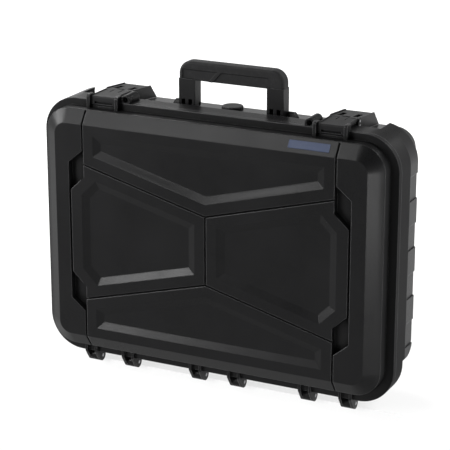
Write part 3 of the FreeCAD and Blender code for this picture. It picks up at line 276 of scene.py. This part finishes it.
def rim_side(shader):
    """1 on the outer sides of the rim in front of the bumper pads, where the mould is etched duller."""
    axes = shader.axes(shader.coords)
    reach = shader.math("ABSOLUTE", axes["X"], 0.0)
    outside = shader.remap(reach, RIM_SIDE_X - RIM_SIDE_BLEND, RIM_SIDE_X, 0.0, 1.0)
    in_front = shader.math("LESS_THAN", axes["Y"], PADS_FRONT_Y)
    return shader.math("MULTIPLY", outside, in_front)


def bridged(shader):
    """1 beside the stretches of the long grooves that the tabs of the side panels bridge."""
    axes = shader.axes(shader.coords)
    reach = shader.math("ABSOLUTE", axes["X"], 0.0)
    beside = shader.near(reach, GROOVE_X, GROOVE_HALF + BRIDGE_MARGIN)
    level = shader.near(axes["Z"], FACE_MIDDLE_Z, TAB_END_Z)
    return shader.math("MULTIPLY", beside, level)


def moulded_plastic(name, dark, light, rough, grain, grain_depth, specular, edge, rimmed=False):
    """Moulded plastic: etched grain, slow changes of tone and gloss, scuffs, a painted highlight along the
    outer edges, painted shade in the hollows.
    """
    shader = Shader(name)
    surface = shader.surface
    surface.inputs["Specular IOR Level"].default_value = specular
    slow = shader.noise(9.0, 4.0)
    cells = shader.voronoi(grain)
    speckle = shader.noise(grain * 0.6, 3.0, 0.7)
    scuffs = shader.noise(42.0, 8.0, 0.72, (1.0, 1.0, 0.22))
    tone = shader.mix(shader.remap(slow, 0.35, 0.68, 0.0, 1.0), dark, light)
    worn = shader.remap(scuffs, 0.62, 0.82, 0.0, 0.35)
    lighter = tuple(min(1.0, value * 1.7 + 0.006) for value in light)
    rounded = shader.rounded(edge)
    # Painted shade: mask of the grooves and pockets that get a near-black tone; it also dulls the gloss there
    hollow = shader.remap(shader.openness(HOLLOW_REACH), 0.80, 0.45, 0.0, 1.0)
    # Painted highlight: mask of the outer edges that get a light tone
    edges = shader.edge_highlight_mask(rounded, shader.openness(EDGE_REACH))
    # Beside the bridged grooves the painted edge highlight is left out and the normals stay flat
    if rimmed:
        free = shader.math("SUBTRACT", 1.0, bridged(shader))
        edges = shader.math("MULTIPLY", edges, free)
        rounded = shader.mix(free, shader.flat_normal(), rounded)
    # Painted highlight: a light tone along the outer edges, laid over the scuffed tone
    lightened = shader.mix(edges, shader.mix(worn, tone, lighter), EDGE_HIGHLIGHT_TONE)
    # Painted shade: grooves and pockets darkened towards a near-black tone
    shader.link(shader.mix(hollow, lightened, HOLLOW_SHADE_TONE), surface.inputs["Base Color"])
    gloss = shader.remap(slow, 0.3, 0.7, rough - 0.05, rough + 0.05)
    fine = shader.remap(speckle, 0.3, 0.7, -0.05, 0.05)
    gloss = shader.math("ADD", gloss, fine)
    gloss = shader.math("ADD", gloss, shader.math("MULTIPLY", worn, SCUFF_GLOSS))
    if rimmed:
        gloss = shader.math("ADD", gloss, shader.math("MULTIPLY", rim_side(shader), RIM_DULLING))
    gloss = shader.math("ADD", gloss, shader.math("MULTIPLY", hollow, HOLLOW_DULLING))
    shader.link(gloss, surface.inputs["Roughness"])
    height = shader.math("ADD", cells, speckle)
    waves = shader.bump(slow, 0.12, 0.0012, rounded)
    shader.link(shader.bump(height, 0.5, grain_depth, waves), surface.inputs["Normal"])
    return shader.material


def soft_rubber(name, dark, light, grain):
    """Rubber: dull, with a pebbled skin and a little dust in it."""
    shader = Shader(name)
    surface = shader.surface
    surface.inputs["Specular IOR Level"].default_value = 0.12
    pebbles = shader.voronoi(grain)
    slow = shader.noise(24.0, 5.0)
    dust = shader.remap(shader.noise(160.0, 6.0, 0.7), 0.5, 0.75, 0.0, 0.5)
    tone = shader.mix(shader.remap(slow, 0.3, 0.7, 0.0, 1.0), dark, light)
    dusty = tuple(value * 1.8 + 0.008 for value in light)
    shader.link(shader.mix(dust, tone, dusty), surface.inputs["Base Color"])
    shader.link(shader.remap(slow, 0.3, 0.7, 0.58, 0.72), surface.inputs["Roughness"])
    shader.link(shader.bump(pebbles, 0.45, 0.00025), surface.inputs["Normal"])
    return shader.material


def drawn_steel(name):
    """Drawn steel wire: long fine lines along the pin and dull spots."""
    shader = Shader(name)
    surface = shader.surface
    surface.inputs["Metallic"].default_value = 1.0
    lines = shader.noise(900.0, 3.0, 0.6, (0.02, 1.0, 1.0))
    spots = shader.noise(130.0, 5.0)
    dulled = shader.remap(spots, 0.4, 0.7, 0.0, 1.0)
    tone = shader.mix(dulled, (0.34, 0.34, 0.35), (0.22, 0.22, 0.225))
    shader.link(tone, surface.inputs["Base Color"])
    shader.link(shader.remap(lines, 0.3, 0.7, 0.28, 0.46), surface.inputs["Roughness"])
    shader.link(shader.bump(lines, 0.3, 0.0001), surface.inputs["Normal"])
    return shader.material


def label_finish(name):
    """Coated label foil: slate blue with a fine roll of the coat and faint rubbing."""
    shader = Shader(name)
    surface = shader.surface
    surface.inputs["Specular IOR Level"].default_value = 0.2
    roll = shader.noise(500.0, 3.0, 0.5, (0.15, 1.0, 1.0))
    lightened = shader.remap(shader.noise(190.0, 6.0, 0.7), 0.52, 0.78, 0.0, 0.6)
    rolled = shader.remap(roll, 0.3, 0.7, 0.0, 1.0)
    tone = shader.mix(rolled, (0.014, 0.023, 0.052), (0.018, 0.028, 0.060))
    shader.link(shader.mix(lightened, tone, (0.030, 0.040, 0.075)), surface.inputs["Base Color"])
    shader.link(shader.remap(roll, 0.3, 0.7, 0.36, 0.46), surface.inputs["Roughness"])
    shader.link(shader.bump(roll, 0.2, 0.00006), surface.inputs["Normal"])
    return shader.material


SHELL = moulded_plastic("shell_plastic", dark=(0.0038, 0.0038, 0.0040), light=(0.0052, 0.0052, 0.0055),
                        rough=0.31, grain=1500.0, grain_depth=0.00002, specular=0.105, edge=0.0018,
                        rimmed=True)
LATCH = moulded_plastic("latch_plastic", dark=(0.0056, 0.0056, 0.0059), light=(0.0074, 0.0074, 0.0077),
                        rough=0.44, grain=2200.0, grain_depth=0.00004, specular=0.09, edge=0.0012)
FITTING = moulded_plastic("fitting_plastic", dark=(0.0050, 0.0050, 0.0053), light=(0.0068, 0.0068, 0.0071),
                          rough=0.38, grain=2000.0, grain_depth=0.00004, specular=0.10, edge=0.0012)
GRIP = soft_rubber("grip_rubber", dark=(0.0056, 0.0056, 0.0059), light=(0.0078, 0.0078, 0.0081), grain=1300.0)
SEAL = soft_rubber("seal_rubber", dark=(0.0050, 0.0050, 0.0050), light=(0.0070, 0.0070, 0.0070), grain=1800.0)
STEEL = drawn_steel("pin_steel")
LABEL = label_finish("label_plate")

FINISHES = {
    "shell_plastic": SHELL,
    "latch_plastic": LATCH,
    "fitting_plastic": FITTING,
    "grip_rubber": GRIP,
    "seal_rubber": SEAL,
    "pin_steel": STEEL,
}


def dress_nodes():
    """Give each CAD node its finish and softly rounded edges."""
    slots = {piece["node"]: piece["material_slot"] for piece in frame["record"]["subparts"]}
    for name, obj in nodes.items():
        for index in range(len(obj.material_slots)):
            obj.material_slots[index].material = FINISHES[slots[name]]
        for polygon in obj.data.polygons:
            polygon.use_smooth = True
        weld = obj.modifiers.new("weld", "WELD")
        weld.merge_threshold = WELD_REACH
        edge = obj.modifiers.new("edge", "BEVEL")
        edge.width = EDGE_WIDTHS.get(slots[name], EDGE_WIDTH)
        edge.segments = 2
        edge.limit_method = "ANGLE"
        edge.angle_limit = math.radians(EDGE_ANGLE)
        edge.use_clamp_overlap = True
        edge.harden_normals = True
        normals = obj.modifiers.new("normals", "WEIGHTED_NORMAL")
        normals.keep_sharp = False


# Pieces that this script adds


def add_piece(name, mesh, material):
    """Object in the scene from a closed mesh, with its faces turned outwards."""
    bmesh.ops.recalc_face_normals(mesh, faces=mesh.faces)
    data = bpy.data.meshes.new(name)
    mesh.to_mesh(data)
    mesh.free()
    data.materials.append(material)
    piece = bpy.data.objects.new(name, data)
    scene.collection.objects.link(piece)
    return piece


def join_loops(mesh, lower, upper):
    """Faces between two closed loops of vertices."""
    count = len(lower)
    for index in range(count):
        following = (index + 1) % count
        mesh.faces.new((lower[index], lower[following], upper[following], upper[index]))


def close_slab(mesh, upper, lower):
    """Faces round a slab between two grids of vertices, each a list of columns."""
    rows = len(upper[0])
    for layer in (upper, lower):
        for left, right in zip(layer, layer[1:]):
            for row in range(rows - 1):
                mesh.faces.new((left[row], right[row], right[row + 1], left[row + 1]))
    for column in (0, -1):
        for row in range(rows - 1):
            mesh.faces.new((upper[column][row], upper[column][row + 1],
                            lower[column][row + 1], lower[column][row]))
    for row in (0, rows - 1):
        for column in range(len(upper) - 1):
            mesh.faces.new((upper[column][row], upper[column + 1][row],
                            lower[column + 1][row], lower[column][row]))


def rounded_points(half_x, half_y, radius, steps):
    """Corner points of a rounded rectangle, anticlockwise."""
    points = []
    for quarter, (sx, sy) in enumerate(((1, 1), (-1, 1), (-1, -1), (1, -1))):
        for step in range(steps + 1):
            turn = math.radians(90 * quarter + 90 * step / steps)
            points.append((sx * (half_x - radius) + radius * math.cos(turn),
                           sy * (half_y - radius) + radius * math.sin(turn)))
    return points


def label_plate():
    """Thin bare plate with a raised border, set on the lid's upper bevel."""
    mesh = bmesh.new()
    loops = []
    for step_in, height, radius in LABEL_RINGS:
        outline = rounded_points(LABEL_LENGTH / 2 - step_in, LABEL_WIDTH / 2 - step_in, radius, 5)
        loops.append([mesh.verts.new((x, y, height)) for x, y in outline])
    for lower, upper in zip(loops, loops[1:]):
        join_loops(mesh, lower, upper)
    mesh.faces.new(loops[-1])
    mesh.faces.new(list(reversed(loops[0])))
    plate = add_piece("label_plate", mesh, LABEL)
    for polygon in plate.data.polygons:
        polygon.use_smooth = len(polygon.vertices) == 4
    along = Vector((0.0, BEVEL_DEPTH, BEVEL_RISE)).normalized()
    across = Vector((1.0, 0.0, 0.0))
    outwards = across.cross(along)
    y = FACE_Y + LABEL_SHARE * BEVEL_DEPTH
    z = FACE_MIDDLE_Z + FACE_HALF_Z + LABEL_SHARE * BEVEL_RISE
    turn = Matrix((across, along, outwards)).transposed().to_4x4()
    plate.matrix_world = Matrix.Translation((LABEL_X, y, z)) @ turn
    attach(plate, "lid")


def recess_depth(x, z):
    """Depth of a side panel's recess under a point of the face, from its three nearest walls."""
    z = abs(z)
    upper = (PANEL_LINE_START + PANEL_LINE_SLOPE * x - z) / math.hypot(1.0, PANEL_LINE_SLOPE)
    chamfer = (TAB_SIDE_Z + CHAMFER_SLOPE * (TAB_X - x) - z) / math.hypot(1.0, CHAMFER_SLOPE)
    inside = min(upper, chamfer, TAB_X - x) - RECESS_INSET
    return RECESS_DEPTH / RECESS_RUN * min(max(inside, 0.0), RECESS_RUN)


def groove_bridge(name, side):
    """Fill of the long groove between a side panel and its tab, which are one piece in the photograph."""
    columns, rows = 5, 241
    fall = (TAB_END_Z - TAB_SIDE_Z) / (TAB_X - GROOVE_X + GROOVE_HALF)
    mesh = bmesh.new()
    upper, lower = [], []
    for column in range(columns):
        x = GROOVE_X - GROOVE_HALF + 2 * GROOVE_HALF * column / (columns - 1)
        end = TAB_END_Z - fall * (x - GROOVE_X + GROOVE_HALF)
        upper.append([])
        lower.append([])
        for row in range(rows):
            z = end * (2.0 * row / (rows - 1) - 1.0)
            place_x, place_z = side * x, FACE_MIDDLE_Z + z
            upper[-1].append(mesh.verts.new((place_x, FACE_Y + recess_depth(x, z), place_z)))
            lower[-1].append(mesh.verts.new((place_x, FACE_Y + BRIDGE_FLOOR, place_z)))
    close_slab(mesh, upper, lower)
    bridge = add_piece(name, mesh, SHELL)
    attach(bridge, "lid")


def bumper_end(name, side):
    """Web between a bumper's upper end and the base's wall, which closes the gap beside the latch."""
    middle_x = RIM_HALF_X - RIM_CORNER
    middle_z = FACE_MIDDLE_Z + RIM_TOP - RIM_CORNER
    steps = 8
    depths = [WEB_FRONT_Y + (WEB_REAR_Y - WEB_FRONT_Y) * step / steps for step in range(steps + 1)]
    mesh = bmesh.new()
    rings = []
    for x in WEB_FACES_X:
        top = middle_z + math.sqrt((RIM_CORNER - WEB_TOP_INSET) ** 2 - (x - middle_x) ** 2)
        wall = middle_z + math.sqrt((RIM_CORNER - WEB_WALL_INSET) ** 2 - (x - middle_x) ** 2)
        ring = [(side * x, y, wall - BASE_DRAFT * (y - WEB_FRONT_Y)) for y in depths]
        ring += [(side * x, y, top) for y in reversed(depths)]
        rings.append([mesh.verts.new(point) for point in ring])
    join_loops(mesh, *rings)
    for ring in rings:
        for index in range(steps):
            mesh.faces.new((ring[index], ring[index + 1], ring[-2 - index], ring[-1 - index]))
    web = add_piece(name, mesh, SHELL)
    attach(web, "base")


def slot_pans(name, side, body):
    """Shallow closed pans under a lever's two slots, so that they are blind as in the photograph."""
    columns, rows = 9, 15
    mesh = bmesh.new()
    for middle in PAN_MIDDLES:
        upper, lower = [], []
        for column in range(columns):
            across = PAN_WIDTH * (column / (columns - 1) - 0.5)
            x = side * LATCH_X + middle + across
            upper.append([])
            lower.append([])
            for row in range(rows):
                y = PAN_FRONT_Y + (PAN_REAR_Y - PAN_FRONT_Y) * row / (rows - 1)
                margin = min(PAN_WIDTH / 2 - abs(across), y - PAN_FRONT_Y, PAN_REAR_Y - y)
                depth = PAN_DEPTH * min(margin / PAN_WALL_RUN, 1.0)
                z = LEVER_UNDERSIDE_Z - LEVER_SLOPE * (y - LEVER_PIVOT_Y) - depth
                upper[-1].append(mesh.verts.new((x, y, z + PAN_LIFT)))
                lower[-1].append(mesh.verts.new((x, y, z - PAN_DROP)))
        close_slab(mesh, upper, lower)
    pans = add_piece(name, mesh, LATCH)
    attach(pans, body)


# Stage, light and camera


def shows_background(tree):
    """Factor that is 1 for rays that should see the plain white surround."""
    rays = tree.add("ShaderNodeLightPath").outputs
    seen = tree.math("MAXIMUM", rays["Is Camera Ray"], rays["Is Glossy Ray"])
    return tree.math("MAXIMUM", seen, rays["Is Transmission Ray"])


def floor_finish():
    """Grey under the lamps, with a glow that makes it white, weaker beside the object and in the step."""
    material = bpy.data.materials.new("floor")
    material.use_nodes = True
    tree = NodeTree(material.node_tree)
    built_in = material.node_tree.nodes
    built_in.remove(built_in["Principled BSDF"])
    diffuse = tree.add("ShaderNodeBsdfDiffuse")
    diffuse.inputs["Color"].default_value = FLOOR_TONE
    glow = tree.add("ShaderNodeEmission")
    glow.inputs["Color"].default_value = WHITE
    coords = tree.coordinates("Object")
    distance = tree.add("ShaderNodeVectorMath", operation="LENGTH")
    tree.link(coords, distance.inputs[0])
    spread = tree.remap(distance.outputs["Value"], 0.3, 1.2, 0.74, 1.0)
    strength = tree.math("MULTIPLY", spread, shows_background(tree))
    sunk = tree.remap(tree.axes(coords)["Z"], -FLOOR_STEP_DEPTH, FLOOR_SHADE_TOP, 0.70, 1.0)
    tree.link(tree.math("MULTIPLY", strength, sunk), glow.inputs["Strength"])
    both = tree.add("ShaderNodeAddShader")
    tree.link(diffuse.outputs["BSDF"], both.inputs[0])
    tree.link(glow.outputs["Emission"], both.inputs[1])
    tree.link(both.outputs["Shader"], built_in["Material Output"].inputs["Surface"])
    return material


def build_floor():
    """Large white floor with a step down just behind the hinge line, which leaves the lid room to open."""
    profile = (
        (FLOOR_REACH, 0.0),
        (FLOOR_STEP_Y, 0.0),
        (FLOOR_STEP_Y, -FLOOR_STEP_DEPTH),
        (-FLOOR_REACH, -FLOOR_STEP_DEPTH),
    )
    corners = [(side * FLOOR_REACH, y, z) for y, z in profile for side in (-1, 1)]
    strips = [(2 * row, 2 * row + 2, 2 * row + 3, 2 * row + 1) for row in range(len(profile) - 1)]
    data = bpy.data.meshes.new("floor")
    data.from_pydata(corners, [], strips)
    data.materials.append(floor_finish())
    floor = bpy.data.objects.new("floor", data)
    scene.collection.objects.link(floor)


def build_world():
    """White at the horizon and greyer overhead for camera and mirror rays, a soft grey as light."""
    world = bpy.data.worlds.new("studio")
    scene.world = world
    world.use_nodes = True
    tree = NodeTree(world.node_tree)
    background = world.node_tree.nodes["Background"]
    background.inputs["Color"].default_value = WHITE
    height = tree.axes(tree.coordinates("Generated"))["Z"]
    ceiling = tree.remap(height, 0.12, 0.32, 1.0, 0.25)
    strength = tree.remap(shows_background(tree), 0.0, 1.0, 0.30, ceiling)
    tree.link(strength, background.inputs["Strength"])


def area_light(name, place, target, width, height, power, upright=(0.0, 0.0, 1.0)):
    """Rectangular soft light that faces a point, its height along upright, and isn't seen itself."""
    data = bpy.data.lights.new(name, "AREA")
    data.shape = "RECTANGLE"
    data.size = width
    data.size_y = height
    data.energy = power
    light = bpy.data.objects.new(name, data)
    scene.collection.objects.link(light)
    back = (Vector(place) - Vector(target)).normalized()
    across = Vector(upright).cross(back).normalized()
    turn = Matrix((across, back.cross(across), back)).transposed().to_4x4()
    light.matrix_world = Matrix.Translation(place) @ turn
    light.visible_camera = False


def build_lights():
    """Soft boxes from the upper left, the lower left, both sides, the right front and behind."""
    area_light("key", (-0.92, -1.41, 1.86), (0.0, 0.0, 0.3), width=0.9, height=0.8, power=25.0)
    area_light("low", (-1.27, -1.67, 0.73), (0.0, 0.0, 0.15), width=0.6, height=0.5, power=29.0)
    area_light("left", (-1.99, -0.83, 1.24), (-0.2, 0.0, 0.35), width=0.4, height=1.2, power=52.0,
               upright=(0.29, -0.25, 0.36))
    area_light("right", (1.32, -1.43, -0.12), (0.1, 0.0, 0.2), width=0.9, height=0.3, power=16.0)
    area_light("side", (2.3, 0.3, 0.2), (0.0, 0.0, 0.2), width=0.9, height=0.3, power=45.0)
    area_light("back_right", (1.27, 1.08, 1.86), (0.0, 0.0, 0.2), width=1.0, height=0.8, power=50.0)
    area_light("back_left", (-1.27, 1.08, 1.86), (0.0, 0.0, 0.2), width=1.0, height=0.8, power=40.0)


def build_camera():
    """Long lens from the front right, a little above, fitted to the photograph's perspective."""
    data = bpy.data.cameras.new("camera")
    data.sensor_fit = "HORIZONTAL"
    data.sensor_width = SENSOR_WIDTH
    data.lens = FOCAL_PIXELS * SENSOR_WIDTH / PICTURE_PIXELS
    data.clip_end = CAMERA_REACH
    camera = bpy.data.objects.new("camera", data)
    scene.collection.objects.link(camera)
    camera.location = CAMERA_PLACE
    camera.rotation_euler = (math.radians(90.0 - CAMERA_DIP), 0.0, math.radians(CAMERA_TURN))
    scene.camera = camera


dress_nodes()
label_plate()
groove_bridge("tab_bridge_left", -1.0)
groove_bridge("tab_bridge_right", 1.0)
bumper_end("bumper_end_left", -1.0)
bumper_end("bumper_end_right", 1.0)
slot_pans("lever_slot_pans_left", -1.0, "latch_lever_left")
slot_pans("lever_slot_pans_right", 1.0, "latch_lever_right")
build_floor()
build_world()
build_lights()
build_camera()
scene.view_settings.view_transform = "Standard"
